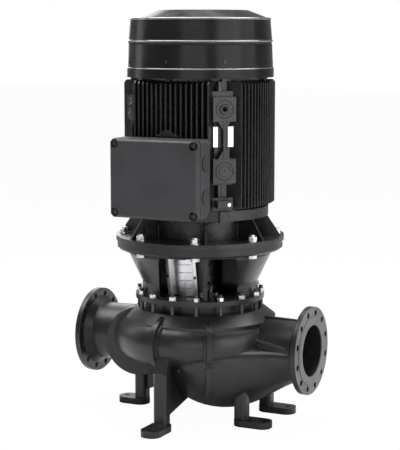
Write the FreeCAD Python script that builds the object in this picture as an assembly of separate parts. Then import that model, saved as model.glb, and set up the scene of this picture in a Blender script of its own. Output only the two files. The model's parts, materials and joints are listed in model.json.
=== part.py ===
"""Vertical in-line circulation pump with a flange motor on a lantern stool.

Millimetres. Z is the shaft axis, Z = 0 is the floor under the feet, X is the pipe axis with the
suction flange at +X and the discharge flange at -X, and the terminal box faces -Y.
Azimuths are degrees about Z, from the front (-Y) towards the suction side (+X).
"""
import FreeCAD
import Part
import math
import os

V = FreeCAD.Vector
ORIGIN = V(0, 0, 0)
UP = V(0, 0, 1)

# Pipework
PIPE_Z = 290.0            # pipe axis above the floor
FACE_TO_FACE = 960.0
BORE_R = 100.0
FLANGE_R = 170.0
FLANGE_T = 21.0
FLANGE_PCD = 295.0
FLANGE_HOLES = 12
FLANGE_HOLE_R = 11.5
DISCHARGE_HOLE_R = 11.0   # the discharge side has the smaller of the two usual hole sizes
RAISED_FACE_R = 133.0
RAISED_FACE_T = 3.0
NECK_R = 113.0
NECK_FLARE = 26.0         # cone behind each flange, radius and length

# Casing
WALL = 14.0
VOLUTE_R = 238.0          # radius of the volute's centre line
VOLUTE_RISE = 28.0        # centre line above the pipe axis
TONGUE_R = 60.0           # section radius where the volute starts
VOLUTE_GROWTH = 40.0      # steady growth of the section round the volute
THROAT_GROWTH = 17.0      # and what the last stretch before the discharge adds
TONGUE_AZIMUTH = 240.0
THROAT_AZIMUTH = -90.0
THROAT_OUT = 17.0         # how far the throat moves outwards
THROAT_DROP = 33.0        # and downwards, to meet the discharge neck
CASING_RISE = 141.0       # top rim above the pipe axis
RIM_R = 250.0
SHOULDER_R = 299.0
SHOULDER_DROP = 38.0
COVER_BORE_R = 222.0
COVER_SEAT_DEPTH = 37.0
CHAMBER_R = 214.0
CHAMBER_DEPTH = 163.0     # from the rim down to the floor of the impeller chamber
COLLAR_T = 22.0
COLLAR_AZIMUTH = -64.0    # the big collar before the discharge neck
COLLAR_R = 140.0
COLLAR_OUT = 233.0        # its centre from the shaft axis
COLLAR_DROP = 4.0
RIB_RISE = 18.0           # height of the two ribs round the volute, and of their foot
RIB_FOOT_RISE = 8.0
RIB_T = 20.0
RIB_FOOT_T = 42.0
RIB_AZIMUTHS = (-7.0, 32.0)
UNDER_WEB_AZIMUTH = 16.0
DRAIN_AZIMUTH = 10.0
DRAIN_OUT = 282.0
DRAIN_BOSS_R = 11.0
GUSSET_T = 10.0
GUSSET_ROOT_X = 262.0
GUSSET_TIP_X = 412.0
SUCTION_NECK_X = 215.0    # inner end of the round suction neck

# Feet
LEG_RADIUS = 330.0        # front and rear leg, from the shaft axis
LEFT_LEG_X = -262.0
RIGHT_LEG_X = 238.0
RIGHT_LEG_Y = 120.0
LEG_W = 54.0
LEG_D = 50.0
PAD_W = 80.0
PAD_L = 151.0
LEFT_PAD_L = 129.0
PAD_T = 25.0
PAD_IN = 28.0             # inner end of the pad inside the leg's axis
FOOT_HOLE_IN = 31.0       # hole from the outer end of the pad
LEG_TAPER = 92.0          # slanted top of the front and rear leg
FOOT_HOLE_R = 9.0
WEB_T = 16.0

# Joint between casing, cover and stool
COVER_RISE = 36.0         # exposed ring of the pump cover
GASKET_T = 2.0
COVER_RING_R = 206.0
STUDS = 16
STUD_R = 8.0
STUD_PITCH_R = 240.5
STUD_DEPTH = 30.0
STUD_PROUD = 11.0
STUD_NUT_AF = 24.0
STUD_NUT_H = 14.0
SEAL_BORE_R = 52.0

# Motor stool
STOOL_BASE_R = 254.0
STOOL_BASE_T = 20.0
STOOL_BASE_HOLE_R = 150.0
STOOL_H = 230.0
STOOL_WAIST_R = 228.0
STOOL_WAIST_H = 48.0      # straight part of the wall above the base ring
STOOL_CONE_R = 281.0
STOOL_FLANGE_R = 325.0
STOOL_FLANGE_T = 33.0
WINDOW_W = 300.0
WINDOW_H = 166.0
WINDOW_AZIMUTH = 24.0
POST_AZIMUTH = 31.0
POST_W = 16.0
MOTOR_BOLTS = 8
MOTOR_BOLT_PITCH_R = 300.0
MOTOR_BOLT_R = 10.0
MOTOR_NUT_AF = 30.0
MOTOR_NUT_H = 16.0

# Shaft line
SHAFT_END_R = 38.0
COUPLING_R = 88.0
COUPLING_H = 140.0
COUPLING_BASE = 28.0      # above the underside of the stool
SHAFT_GAP = 4.0
SPLIT_GAP = 3.0
IMPELLER_R = 196.0
EYE_R = 95.0
RUNNING_GAP = 0.5

# Coupling guard
GUARD_Y = 163.0
GUARD_FLANGE_X = 58.0
GUARD_FLANGE_W = 13.0
GUARD_STEP = 13.0
GUARD_STEP_IN = 8.0
GUARD_BULGE = 12.0
GUARD_T = 2.0
GUARD_LEAN = 10.0         # degrees, upper edge outwards
GUARD_H = 160.0
GUARD_SLOT_ROWS = 4
GUARD_SLOT_H = 1.8
GUARD_SLOT_X = (-28.0, 0.0, 28.0)
GUARD_SLOT_W = 25.0
REAR_GUARD_W = 330.0

# Air vent on the stool's base ring
VENT_R = 196.0
VENT_AZIMUTH = 38.0
VENT_H = 42.0

# Motor
MOTOR_FLANGE_R = 330.0
MOTOR_FLANGE_T = 19.0
MOTOR_SPIGOT_R = 262.0
SHIELD_H = 137.0
SHIELD_BARREL_R = 200.0
SHIELD_RIM_STEP = 28.0    # rim beyond the frame's barrel
SHIELD_RIM_T = 39.0
SHIELD_GUSSETS = (30, 75, 105, 150, 210, 255, 285, 330)
SHIELD_LUG_W = 34.0       # lugs under the corner strips
SHIELD_LUG_OUT = 12.0
SHIELD_LUG_H = 43.0
FRAME_H = 487.0
FRAME_BARREL_R = 240.0
FRAME_WALL = 14.0
FIN_H = 33.5              # longest fins, over the barrel
FIN_BOW_R = 505.0         # curve of the fins' outer edges across the frame
FIN_T = 6.0
FIN_PITCH = 20.5
FINS_EACH_SIDE = 8
FIN_CHAMFER = 22.0
STRIP_W = 105.0
STRIP_RISE = 22.0         # strip over the barrel, boss over the strip
PAD_RISE = 21.0
PAD_SIZE = 92.0
PAD_LEVELS = (107.0, FRAME_H - 149.0)   # lower edges of the bosses above the frame's foot
RECESS_DEPTH = 19.0
RECESS_LEVELS = ((52.0, 100.0), (FRAME_H - 36.0, FRAME_H + 8.0))
BAY_DEPTH = 10.0
BAY_SPAN = PAD_LEVELS[1] - PAD_LEVELS[0] - PAD_SIZE   # between the two bosses
PLATE_RISE = BAY_SPAN * 44 / 139   # bare plates above the lower boss
PLATE_H = BAY_SPAN * 76 / 139
PLATE_SPANS = ((-40.0, -22.0), (18.0, 40.0))
SHIELD_SCREW_SIDE = -13.0
SHIELD_SCREW_AF = 24.0
TOP_SHIELD_T = 10.0
BEARING_W = 40.0
DE_BEARING = (45.0, 95.0)
NDE_BEARING = (40.0, 80.0)
BALLS = 7
COVER_OVER = 12.5         # fan cover beyond the fins
COVER_SKIRT_H = 33.0
COVER_BODY_H = 97.0
CANOPY_SKIRT_H = 92.0
CANOPY_CONE_H = 33.0
CANOPY_STEPS = (7.0, 7.0, 87.0)   # foot inside the cover, edge inside the foot, top inside the edge
FAN_IN = 50.0             # fan inside the cover
SHEET = 3.0
COVER_SCREWS = 8
COVER_SCREW_RISE = 28.0   # above the cover's skirt
COVER_SCREW_R = 3.0
COVER_SCREW_HEAD_R = 5.5

# Terminal box
BOX_W = 368.0
BOX_H = 296.0
BOX_BOTTOM = 119.0        # above the motor joint
BOX_DEPTH = 101.0
BOX_GAP = 20.5            # behind the box, to the fins
BOX_SLOPE = 34.0          # slanted lower rear edge
LID_T = 26.0
LID_INSET = 1.0
LID_CHAMFER = 8.0
BOX_WALL = 7.0
KNOCKOUT_R = 24.0
KNOCKOUT_PITCH = 124.0

# Radii and levels worked out from the sizes above
SHIELD_RIM_R = FRAME_BARREL_R + SHIELD_RIM_STEP
FIN_R = FRAME_BARREL_R + FIN_H
STRIP_R = FRAME_BARREL_R + STRIP_RISE
PAD_R = STRIP_R + PAD_RISE
COVER_R = FIN_R + COVER_OVER
CANOPY_FOOT_R = COVER_R - CANOPY_STEPS[0]
CANOPY_EDGE_R = CANOPY_FOOT_R - CANOPY_STEPS[1]
CANOPY_TOP_R = CANOPY_EDGE_R - CANOPY_STEPS[2]
FAN_R = COVER_R - FAN_IN
BOX_BACK = FIN_R + BOX_GAP
BOX_FRONT = BOX_BACK + BOX_DEPTH
RIM_Z = PIPE_Z + CASING_RISE
STOOL_Z = RIM_Z + COVER_RISE
MOTOR_Z = STOOL_Z + STOOL_H
SHIELD_Z = MOTOR_Z + MOTOR_FLANGE_T
FRAME_Z = MOTOR_Z + SHIELD_H
FRAME_TOP = FRAME_Z + FRAME_H
FAN_COVER_Z = FRAME_TOP + TOP_SHIELD_T
CANOPY_Z = FAN_COVER_Z + COVER_SKIRT_H + COVER_BODY_H
COUPLING_Z = STOOL_Z + COUPLING_BASE
SHAFT_MEET_Z = COUPLING_Z + COUPLING_H / 2
DE_BEARING_Z = SHIELD_Z + 7.0
NDE_BEARING_Z = FRAME_TOP + 3.0
CHAMBER_Z = RIM_Z - CHAMBER_DEPTH
COVER_Z = RIM_Z - COVER_SEAT_DEPTH + GASKET_T
VOLUTE_Z = PIPE_Z + VOLUTE_RISE
COVER_SCREW_Z = FAN_COVER_Z + COVER_SKIRT_H + COVER_SCREW_RISE


def cylinder(radius, z0, z1, x=0.0, y=0.0):
    return Part.makeCylinder(radius, z1 - z0, V(x, y, z0))


def ring(outer, inner, z0, z1):
    return cylinder(outer, z0, z1).cut(cylinder(inner, z0 - 1, z1 + 1))


def block(x0, x1, y0, y1, z0, z1):
    return Part.makeBox(x1 - x0, y1 - y0, z1 - z0, V(x0, y0, z0))


def turned(points):
    """Solid of revolution about Z from a list of (radius, z) corners."""
    corners = [V(r, 0, z) for r, z in points]
    face = Part.Face(Part.makePolygon(corners + corners[:1]))
    return face.revolve(ORIGIN, UP, 360)


def plate(points, thickness, normal, offset=0.0):
    """Flat plate centred on a plane; points are (y, z) for normal X or (x, z) for normal Y."""
    if normal == "X":
        corners = [V(offset - thickness / 2, a, z) for a, z in points]
        push = V(thickness, 0, 0)
    else:
        corners = [V(a, offset - thickness / 2, z) for a, z in points]
        push = V(0, thickness, 0)
    return Part.Face(Part.makePolygon(corners + corners[:1])).extrude(push)


def hexagon(across_flats, z0, z1, x=0.0, y=0.0):
    radius = across_flats / math.sqrt(3)
    corners = [V(x + radius * math.cos(k * math.pi / 3), y + radius * math.sin(k * math.pi / 3), z0)
               for k in range(6)]
    return Part.Face(Part.makePolygon(corners + corners[:1])).extrude(V(0, 0, z1 - z0))


def spun(shape, azimuth):
    """Copy of a shape modelled at the front, turned to an azimuth."""
    copy = shape.copy()
    copy.rotate(ORIGIN, UP, azimuth)
    return copy


def around(shape, count, start=0.0):
    return [spun(shape, start + 360.0 * k / count) for k in range(count)]


def moved(shape, x, y, z=0.0):
    copy = shape.copy()
    copy.translate(V(x, y, z))
    return copy


def fused(shapes):
    return shapes[0].multiFuse(shapes[1:])


def joined(shapes):
    """Fuse one after another, for freeform bodies that don't fuse well all at once."""
    body = shapes[0]
    for shape in shapes[1:]:
        body = body.fuse(shape)
    return body


def rounded_block(width, depth, z0, z1, radius, x=0.0, y=0.0):
    body = block(x - width / 2, x + width / 2, y - depth / 2, y + depth / 2, z0, z1)
    edges = [e for e in body.Edges if abs(e.Vertexes[0].Z - e.Vertexes[1].Z) > (z1 - z0) / 2]
    return body.makeFillet(radius, edges)


def save(name, shapes):
    if isinstance(shapes, list):
        shapes = Part.makeCompound(shapes)
    shapes.exportStep("parts/" + name + ".step")


# Volute casing

def volute_section(azimuth):
    """Centre radius, centre height and section radius of the volute at an azimuth."""
    t = (TONGUE_AZIMUTH - azimuth) / (TONGUE_AZIMUTH - THROAT_AZIMUTH)
    late = t ** 20
    return (VOLUTE_R + THROAT_OUT * late, VOLUTE_Z - THROAT_DROP * late,
            TONGUE_R + VOLUTE_GROWTH * t + THROAT_GROWTH * late)


def volute(wall):
    """Growing tube of the volute, with its radius less wall."""
    wires = []
    steps = 15
    for k in range(steps + 1):
        azimuth = TONGUE_AZIMUTH + (THROAT_AZIMUTH - TONGUE_AZIMUTH) * k / steps
        path_r, path_z, radius = volute_section(azimuth)
        circle = Part.Circle(V(0, -path_r, path_z), V(1, 0, 0), radius - wall)
        wires.append(spun(Part.Wire(circle.toShape()), azimuth))
    return Part.makeLoft(wires, True, False)


def collar(azimuth, rise, thickness):
    """Flat ring standing square to the volute."""
    path_r, path_z, radius = volute_section(azimuth)
    disc = Part.makeCylinder(radius + rise, thickness, V(-thickness / 2, -path_r, path_z), V(1, 0, 0))
    return spun(disc, azimuth)


def big_collar():
    """Large flat ring before the discharge neck, square to the volute."""
    disc = Part.makeCylinder(COLLAR_R, COLLAR_T, V(-COLLAR_T / 2, -COLLAR_OUT, PIPE_Z - COLLAR_DROP), V(1, 0, 0))
    return spun(disc, COLLAR_AZIMUTH)


def oval(x, half_width, centre, top, bottom):
    """Wire across the pipe axis: half an ellipse below centre and half of another above it."""
    def point(angle):
        height = top - centre if math.sin(angle) > 0 else centre - bottom
        return V(x, half_width * math.cos(angle), PIPE_Z + centre + height * math.sin(angle))
    count = 16
    points = [point(2 * math.pi * k / count) for k in range(count)]
    curve = Part.BSplineCurve()
    curve.interpolate(points, PeriodicFlag=True)
    return Part.Wire(curve.toShape())


def suction_bowl():
    sections = ((450, 110, -12, 20, -NECK_R), (391, 127, -10, 26, -141),
                (253, 205, -12, 32, -221), (140, 284, -15, 38, -252), (40, 282, -20, 30, -242),
                (-40, 222, -30, 20, -207), (-110, 120, -55, -10, -140), (-145, 45, -70, -50, -95))
    return Part.makeLoft([oval(*s) for s in sections], True, False)


def suction_passage():
    roof = CHAMBER_Z - PIPE_Z - 44
    start = FACE_TO_FACE / 2 - 70
    mouth = BORE_R + 4
    sections = ((start, mouth, 0, mouth, -mouth), (335, 108, -60, 4, -152),
                (253, 156, roof - 22, roof, -200), (140, 226, roof - 22, roof, -231),
                (40, 222, roof - 22, roof, -220), (-40, 164, roof - 22, roof, -184),
                (-100, 74, roof - 22, roof, -113))
    return Part.makeLoft([oval(*s) for s in sections], True, False)


def pipe_flange(side):
    """Flange, raised face and flare at one end; side is +1 for suction and -1 for discharge."""
    face_x = side * FACE_TO_FACE / 2
    inwards = V(-side, 0, 0)
    face = Part.makeCylinder(RAISED_FACE_R, RAISED_FACE_T, V(face_x, 0, PIPE_Z), inwards)
    disc_x = face_x - side * RAISED_FACE_T
    disc = Part.makeCylinder(FLANGE_R, FLANGE_T, V(disc_x, 0, PIPE_Z), inwards)
    flare = Part.makeCone(NECK_R + NECK_FLARE, NECK_R, NECK_FLARE,
                          V(disc_x - side * FLANGE_T, 0, PIPE_Z), inwards)
    return [face, disc, flare]


def flange_holes(side):
    depth = FLANGE_T + RAISED_FACE_T + 2
    start = side * (FACE_TO_FACE / 2 + 1)
    radius = FLANGE_HOLE_R if side > 0 else DISCHARGE_HOLE_R
    holes = []
    for k in range(FLANGE_HOLES):
        angle = math.radians(15 + 360.0 * k / FLANGE_HOLES)
        y = FLANGE_PCD / 2 * math.cos(angle)
        z = PIPE_Z + FLANGE_PCD / 2 * math.sin(angle)
        holes.append(Part.makeCylinder(radius, depth, V(start, y, z), V(-side, 0, 0)))
    return holes


def slanted_top(distance, z0, z1):
    """Upper end of a leg, which slants back and runs out in the casing."""
    wires = []
    for z, out, width in ((z0, distance + LEG_D / 2 - 1, LEG_W - 2), (z1, distance - 28, LEG_W + 6)):
        corners = [V(-width / 2, -out, z), V(width / 2, -out, z),
                   V(width / 2, -distance + LEG_D / 2, z), V(-width / 2, -distance + LEG_D / 2, z)]
        wires.append(Part.makePolygon(corners + corners[:1]))
    return Part.makeLoft(wires, True, True)


def leg(distance, side_step, azimuth, top, taper=0.0, pad_length=PAD_L):
    """Leg and pad that point outwards along an azimuth."""
    column = rounded_block(LEG_W, LEG_D, 0, top - taper, 14, side_step, -distance)
    if taper:
        column = column.fuse(slanted_top(distance, top - taper - 1, top))
    half = PAD_W / 2
    end = distance - PAD_IN + pad_length
    pad = rounded_block(PAD_W, pad_length, 0, PAD_T, half - 4, side_step, -end + pad_length / 2)
    ankle = Part.makeCone(PAD_IN - 0.5, LEG_D / 2 - 2, 18, V(side_step, -distance, PAD_T))
    hole = cylinder(FOOT_HOLE_R, -1, PAD_T + 1, side_step, -(end - FOOT_HOLE_IN))
    return [spun(s, azimuth) for s in (column, pad, ankle)], spun(hole, azimuth)


def leg_web(distance, azimuth, inner, low_outer, low_inner, high):
    """Upright plate from a leg in to the casing; heights are from the pipe axis."""
    outline = [(-distance, PIPE_Z + low_outer), (-inner, PIPE_Z + low_inner),
               (-inner, PIPE_Z + high), (-distance, PIPE_Z + high)]
    return spun(plate(outline, WEB_T, "X"), azimuth)


def neck_gussets():
    """Thin webs between the volute and the suction neck: one on top, and one along each side."""
    top = NECK_R + GUSSET_T / 2
    crest = plate([(GUSSET_ROOT_X, PIPE_Z + 40), (GUSSET_ROOT_X, PIPE_Z + top), (GUSSET_ROOT_X + 25, PIPE_Z + top + 2),
                   (GUSSET_TIP_X, PIPE_Z + top - 1), (GUSSET_TIP_X, PIPE_Z + NECK_R - 30)], GUSSET_T, "Y")
    low, high = PIPE_Z + 14, PIPE_Z + 48
    shelf = plate([(GUSSET_ROOT_X, high + GUSSET_T), (GUSSET_ROOT_X, high), (GUSSET_TIP_X + 5, low),
                   (GUSSET_TIP_X + 5, low + GUSSET_T)], 2 * NECK_R + 4, "Y")
    return [crest, shelf]


def under_webs():
    """Casting webs and the drain boss between the volute's underside and the bowl."""
    band = [(-330, -40), (-322, -90), (-304, -125), (-272, -168), (-235, -205), (-200, -205), (-200, -40)]
    fin_edge = [(-292, -40), (-288, -75), (-262, -112), (-200, -112), (-200, -40)]
    webs = []
    for outline, thickness, azimuth in ((band, RIB_T, RIB_AZIMUTHS[1]), (fin_edge, WEB_T, UNDER_WEB_AZIMUTH)):
        raised = [(y, PIPE_Z + z) for y, z in outline]
        webs.append(spun(plate(raised, thickness, "X"), azimuth))
    boss = cylinder(DRAIN_BOSS_R, PIPE_Z - 68, PIPE_Z - 20, 0, -DRAIN_OUT)
    return webs + [spun(boss, DRAIN_AZIMUTH)]


def volute_casing():
    face_x = FACE_TO_FACE / 2
    drum = turned([(0, CHAMBER_Z - 40), (200, CHAMBER_Z - 40), (272, CHAMBER_Z - 8),
                   (SHOULDER_R - 10, RIM_Z - 80), (SHOULDER_R, RIM_Z - SHOULDER_DROP), (RIM_R, RIM_Z), (0, RIM_Z)])
    neck = Part.makeCone(NECK_R, NECK_R + 6, face_x - 150, V(-face_x + 20, 0, PIPE_Z), V(1, 0, 0))
    suction_neck = Part.makeCylinder(NECK_R, face_x - 20 - SUCTION_NECK_X, V(SUCTION_NECK_X, 0, PIPE_Z), V(1, 0, 0))
    legs = [leg(LEG_RADIUS, 0, 0, PIPE_Z + 25, LEG_TAPER), leg(LEG_RADIUS, 0, 180, PIPE_Z + 5, LEG_TAPER),
            leg(-LEFT_LEG_X, 0, -90, PIPE_Z - 110, 0.0, LEFT_PAD_L),
            leg(RIGHT_LEG_X, RIGHT_LEG_Y, 90, PIPE_Z - 140),
            leg(RIGHT_LEG_X, -RIGHT_LEG_Y, 90, PIPE_Z - 140)]
    webs = [leg_web(LEG_RADIUS, 0, 60, -250, -196, -40), leg_web(LEG_RADIUS, 180, 60, -250, -196, -16),
            leg_web(-LEFT_LEG_X, -90, 90, -240, -165, -60)]
    shapes = [volute(0.0), drum, suction_bowl(), neck, suction_neck]
    for a in RIB_AZIMUTHS:
        shapes += [collar(a, RIB_RISE, RIB_T), collar(a, RIB_FOOT_RISE, RIB_FOOT_T)]
    shapes.append(big_collar())
    shapes += pipe_flange(1) + pipe_flange(-1)
    shapes += [fused(solids) for solids, _ in legs]
    body = joined(shapes + webs + neck_gussets() + under_webs())
    chamber_top = COVER_Z - GASKET_T
    bore_in = FACE_TO_FACE / 2 - 90
    for core in (volute(WALL), suction_passage(),
                 Part.makeCylinder(BORE_R, face_x - bore_in + 1, V(bore_in, 0, PIPE_Z), V(1, 0, 0)),
                 Part.makeCylinder(BORE_R, face_x - 235, V(-face_x - 1, 0, PIPE_Z), V(1, 0, 0)),
                 cylinder(COVER_BORE_R, chamber_top, RIM_Z + 40),
                 cylinder(CHAMBER_R, CHAMBER_Z, chamber_top + 1),
                 cylinder(EYE_R + 13, CHAMBER_Z - 60, CHAMBER_Z + 1),
                 ring(360, COVER_BORE_R - 1, RIM_Z, RIM_Z + 60)):
        body = body.cut(core)
    stud_hole = cylinder(STUD_R, RIM_Z - STUD_DEPTH, RIM_Z + 1, 0, -STUD_PITCH_R)
    holes = around(stud_hole, STUDS) + flange_holes(1) + flange_holes(-1)
    return body.cut(Part.makeCompound(holes + [hole for _, hole in legs]))


def pump_end():
    save("volute_casing", volute_casing())
    wear_r = EYE_R + 13
    save("casing_wear_ring", ring(wear_r, EYE_R + RUNNING_GAP, CHAMBER_Z - 44, CHAMBER_Z))
    seat_z = COVER_Z - GASKET_T
    save("cover_gasket", ring(COVER_BORE_R - 0.5, CHAMBER_R, seat_z, COVER_Z))
    spigot_r = COVER_BORE_R - 0.5
    cover = turned([(44, COVER_Z), (spigot_r, COVER_Z), (spigot_r, RIM_Z), (COVER_RING_R, RIM_Z),
                    (COVER_RING_R, STOOL_Z), (COVER_RING_R - 20, STOOL_Z),
                    (COVER_RING_R - 20, COVER_Z + 20), (88, COVER_Z + 20), (88, COVER_Z + 62),
                    (SEAL_BORE_R, COVER_Z + 62), (SEAL_BORE_R, COVER_Z + 12), (44, COVER_Z + 12)])
    thread = cylinder(4, COVER_Z + 46, COVER_Z + 63, 0, -70)
    save("pump_cover", cover.cut(Part.makeCompound(around(thread, 4, 45))))
    nut_z = STOOL_Z + STOOL_BASE_T
    stud_top = nut_z + STUD_NUT_H + STUD_PROUD
    stud = cylinder(STUD_R, RIM_Z - STUD_DEPTH, stud_top, 0, -STUD_PITCH_R)
    save("cover_studs", around(stud, STUDS))
    nut = hexagon(STUD_NUT_AF, nut_z, nut_z + STUD_NUT_H, 0, -STUD_PITCH_R)
    nut = nut.cut(cylinder(STUD_R, nut_z - 1, nut_z + STUD_NUT_H + 1, 0, -STUD_PITCH_R))
    save("cover_nuts", around(nut, STUDS))


def blade(bottom, top):
    """One backward-curved blade, as a curved strip between the shrouds."""
    bend = 118.0
    centre_x = 74.0
    centre_y = -78.0
    outer = cylinder(bend, bottom, top, centre_x, centre_y)
    strip = outer.cut(cylinder(bend - 7, bottom - 1, top + 1, centre_x, centre_y))
    half = block(-IMPELLER_R, 60, -IMPELLER_R, 40, bottom, top)
    return strip.common(half).common(ring(IMPELLER_R, 64, bottom, top))


def rotor_wet_end():
    outlet = VOLUTE_Z
    back = outlet + 22
    front = outlet - 22
    eye_z = CHAMBER_Z - 36
    hub = turned([(28, CHAMBER_Z - 5), (44, CHAMBER_Z - 5), (60, back - 14), (120, back), (IMPELLER_R, back),
                  (IMPELLER_R, back + 7), (60, back + 9), (42, COVER_Z - 4), (28, COVER_Z - 4)])
    shroud = turned([(EYE_R - 9, eye_z), (EYE_R, eye_z), (EYE_R, CHAMBER_Z + 4), (108, front - 12),
                     (IMPELLER_R, front - 6), (IMPELLER_R, front), (112, front - 4),
                     (EYE_R - 9, CHAMBER_Z + 4)])
    envelope = turned([(50, CHAMBER_Z + 4), (EYE_R - 5, CHAMBER_Z + 4), (112, front - 5),
                       (IMPELLER_R, front - 3), (IMPELLER_R, back + 3), (120, back + 2), (50, back - 22)])
    vane = max(blade(CHAMBER_Z, back + 4).common(envelope).Solids, key=lambda solid: solid.Volume)
    blades = around(vane, 6)
    save("impeller", fused([hub, shroud] + blades))
    nut_z = CHAMBER_Z - 5
    nut = hexagon(46, nut_z - 22, nut_z).cut(cylinder(18, nut_z - 30, nut_z + 1))
    save("impeller_nut", nut)
    seal_z = COVER_Z + 62
    shaft = turned([(0, nut_z - 28), (18, nut_z - 28), (18, nut_z), (28, nut_z), (28, COVER_Z - 4),
                    (34, COVER_Z - 4), (34, COUPLING_Z - 6), (SHAFT_END_R, COUPLING_Z - 6),
                    (SHAFT_END_R, SHAFT_MEET_Z - SHAFT_GAP / 2), (0, SHAFT_MEET_Z - SHAFT_GAP / 2)])
    key = block(-5, 5, -31, -24, CHAMBER_Z + 6, VOLUTE_Z + 40)
    save("pump_shaft", shaft.cut(key))
    save("impeller_key", key.cut(ring(60, 28, CHAMBER_Z, VOLUTE_Z + 60)))
    save("seal_rotating_ring", ring(46, 34, COVER_Z + 27, seal_z - 4))
    save("seal_stationary_seat", ring(SEAL_BORE_R, 36, COVER_Z + 12, COVER_Z + 26))
    gland = ring(80, 36, seal_z, seal_z + 9)
    screw = cylinder(4, seal_z - 15, seal_z + 9, 0, -70).fuse(hexagon(13, seal_z + 9, seal_z + 16, 0, -70))
    save("seal_gland", gland.cut(Part.makeCompound(around(cylinder(4, seal_z - 1, seal_z + 10, 0, -70), 4, 45))))
    save("seal_gland_screws", around(screw, 4, 45))


def leaned(shape):
    """Copy of a piece of the front guard, leaned outwards about its mid height."""
    copy = shape.copy()
    copy.rotate(V(0, -GUARD_Y, STOOL_Z + STOOL_BASE_T + GUARD_H / 2), V(1, 0, 0), GUARD_LEAN)
    return copy


def motor_stool():
    top = STOOL_Z + STOOL_H
    floor = STOOL_Z + STOOL_BASE_T
    waist = floor + STOOL_WAIST_H
    flange = top - STOOL_FLANGE_T
    cone_top = flange - 18
    profile = [(STOOL_BASE_HOLE_R, STOOL_Z), (STOOL_BASE_R, STOOL_Z), (STOOL_BASE_R, floor),
               (STOOL_WAIST_R, floor), (STOOL_WAIST_R, waist), (STOOL_CONE_R, cone_top),
               (STOOL_CONE_R, flange), (STOOL_FLANGE_R - 7, flange), (STOOL_FLANGE_R, flange + 7),
               (STOOL_FLANGE_R, top), (MOTOR_SPIGOT_R, top), (MOTOR_SPIGOT_R, cone_top),
               (STOOL_WAIST_R - WALL, waist), (STOOL_WAIST_R - WALL, floor), (STOOL_BASE_HOLE_R, floor)]
    body = turned(profile)
    opening = block(-WINDOW_W / 2, WINDOW_W / 2, -400, -60, floor + 2, floor + 2 + WINDOW_H)
    edges = [e for e in opening.Edges if abs(e.Vertexes[0].Y - e.Vertexes[1].Y) > 100]
    opening = spun(opening.makeFillet(14, edges), WINDOW_AZIMUTH)
    post = spun(block(-POST_W / 2, POST_W / 2, -400, -60, floor - 5, top), POST_AZIMUTH)
    opening = opening.cut(post)
    rails = []
    rail_in = GUARD_FLANGE_X - GUARD_FLANGE_W / 2 + GUARD_T + 0.3
    rail_out = GUARD_FLANGE_X + 7
    for x0, x1 in ((-rail_out, -rail_in), (rail_in, rail_out)):
        rails.append(leaned(block(x0, x1, -GUARD_Y + GUARD_T, -GUARD_Y + 16, floor - 4, floor + GUARD_H + 9)))
    arch = spun(opening, 180)
    body = body.cut(opening).cut(arch)
    tie = block(-GUARD_FLANGE_X - 7, GUARD_FLANGE_X + 7, -MOTOR_SPIGOT_R - 3, -GUARD_Y + GUARD_T,
                floor + GUARD_H + 4, flange + 3)
    body = body.fuse(joined([tie] + rails).removeSplitter())
    bolt = cylinder(MOTOR_BOLT_R + 1, flange - 1, top + 1, 0, -MOTOR_BOLT_PITCH_R)
    stud = cylinder(STUD_R + 1, STOOL_Z - 1, floor + 1, 0, -STUD_PITCH_R)
    screw = leaned(Part.makeCylinder(3, 14, V(0, -GUARD_Y, floor + GUARD_H / 2), V(0, 1, 0)))
    holes = around(bolt, MOTOR_BOLTS, 22.5) + around(stud, STUDS)
    holes += [moved(screw, x, 0) for x in (-GUARD_FLANGE_X, GUARD_FLANGE_X)]
    return body.cut(Part.makeCompound(holes))


def coupling_guard():
    """Stainless guard sheet: two flat flanges, a step back, and a bowed and slotted middle."""
    z0 = STOOL_Z + STOOL_BASE_T + 0.5
    inner = GUARD_FLANGE_X - GUARD_FLANGE_W / 2
    outer = GUARD_FLANGE_X + GUARD_FLANGE_W / 2
    back = -GUARD_Y + GUARD_STEP
    crown = back - GUARD_BULGE
    t = GUARD_T

    def arc(x, y, top):
        return Part.Arc(V(-x, y, z0), V(0, top, z0), V(x, y, z0)).toShape()

    def line(a, b):
        return Part.makeLine(V(a[0], a[1], z0), V(b[0], b[1], z0))
    fold = inner - GUARD_STEP_IN
    left = [(-outer, -GUARD_Y), (-inner, -GUARD_Y), (-fold, back)]
    left_in = [(-fold - t, back + t), (-inner - t, -GUARD_Y + t), (-outer, -GUARD_Y + t)]
    right = [(-x, y) for x, y in left]
    right_in = [(-x, y) for x, y in left_in]
    edges = [line(left[0], left[1]), line(left[1], left[2]), arc(fold, back, crown),
             line(right[2], right[1]), line(right[1], right[0]), line(right[0], right_in[2]),
             line(right_in[2], right_in[1]), line(right_in[1], right_in[0]), arc(fold + t, back + t, crown + t),
             line(left_in[0], left_in[1]), line(left_in[1], left_in[2]), line(left_in[2], left[0])]
    wire = Part.Wire(Part.__sortEdges__(edges))
    sheet = Part.Face(wire).extrude(V(0, 0, GUARD_H))
    slots = []
    for row in range(GUARD_SLOT_ROWS):
        z = z0 + GUARD_H * (row + 1) / (GUARD_SLOT_ROWS + 1)
        for x in GUARD_SLOT_X:
            slots.append(block(x - GUARD_SLOT_W / 2, x + GUARD_SLOT_W / 2, crown - 5, back + 8,
                               z - GUARD_SLOT_H / 2, z + GUARD_SLOT_H / 2))
    mid = STOOL_Z + STOOL_BASE_T + GUARD_H / 2
    for x in (-GUARD_FLANGE_X, GUARD_FLANGE_X):
        slots.append(Part.makeCylinder(3, t + 2, V(x, -GUARD_Y - 1, mid), V(0, 1, 0)))
    return leaned(sheet.cut(Part.makeCompound(slots)))


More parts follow.
